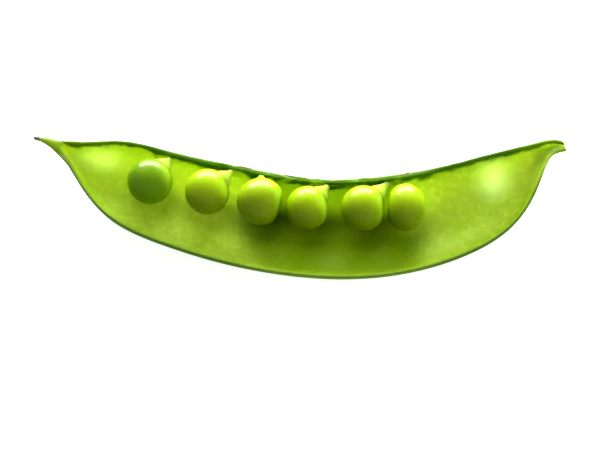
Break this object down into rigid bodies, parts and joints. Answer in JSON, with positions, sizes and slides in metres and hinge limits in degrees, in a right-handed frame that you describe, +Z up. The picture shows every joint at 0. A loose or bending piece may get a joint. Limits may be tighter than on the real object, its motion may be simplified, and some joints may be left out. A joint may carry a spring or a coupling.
{
  "type": "garden pea pod",
  "caption": "An opened garden pea pod half lying on its back, inside up, with a row of round green peas on short seed stalks along its upper seam.",
  "frame": {"origin": "middle of the footprint, on the surface that the pod lies on", "axes": "+X along the pod from the beak to the stalk, +Y across it from the belly edge to the suture, +Z up out of its open side"},
  "size_m": [0.0996, 0.0288, 0.0102],
  "materials": {
    "valve": "satin",
    "pea": "gloss"
  },
  "bodies": {
    "root": {"pod_valve": "valve", "pea_1": "pea", "pea_2": "pea", "pea_3": "pea", "pea_4": "pea", "pea_5": "pea", "pea_6": "pea"}
  },
  "joints": []
}
